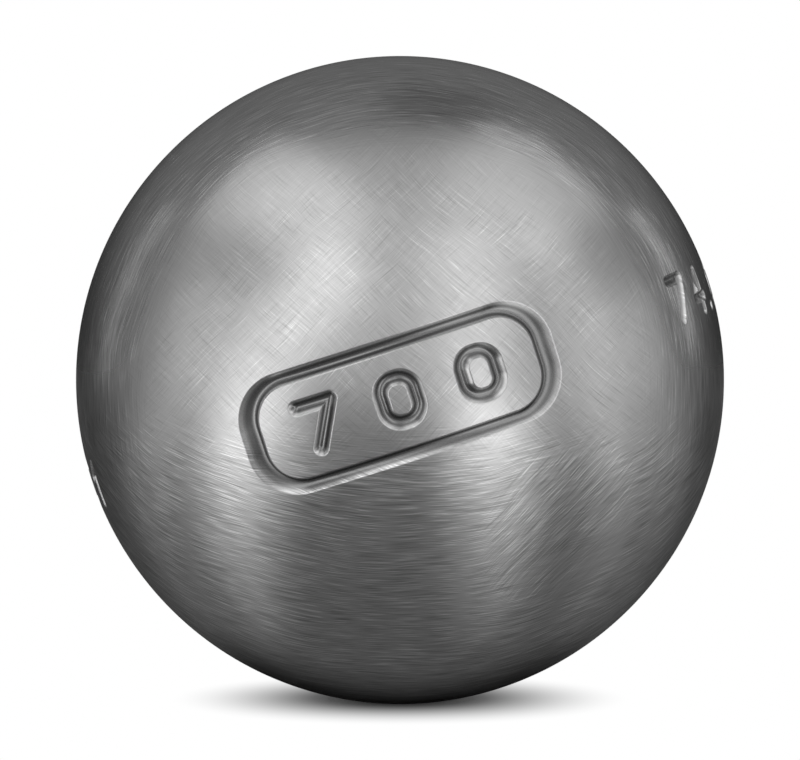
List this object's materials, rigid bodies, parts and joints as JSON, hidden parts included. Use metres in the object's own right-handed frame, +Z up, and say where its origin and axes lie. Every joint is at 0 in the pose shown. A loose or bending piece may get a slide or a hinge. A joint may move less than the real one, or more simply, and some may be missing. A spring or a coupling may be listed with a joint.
{
  "type": "petanque boule",
  "caption": "Smooth hollow steel ball for petanque: half-shells joined by a weld ground flush round the equator, satin brushed all over, with plain weight and size figures struck in the front.",
  "frame": {"origin": "the centre of the ball", "axes": "+Z up as the ball lies in the picture, -Y towards the front with the framed weight figure at its pole, +Y along the axis of the weld, +X to the right"},
  "size_m": [0.074, 0.074, 0.074],
  "materials": {
    "half_shells": "satin grey steel with fine scratches that cross in several directions",
    "weld": "ground flush and brushed like the half-shells outside, left as welded inside"
  },
  "bodies": {
    "root": {"front_half_shell": "half_shells", "rear_half_shell": "half_shells", "equator_weld": "weld"}
  },
  "joints": []
}
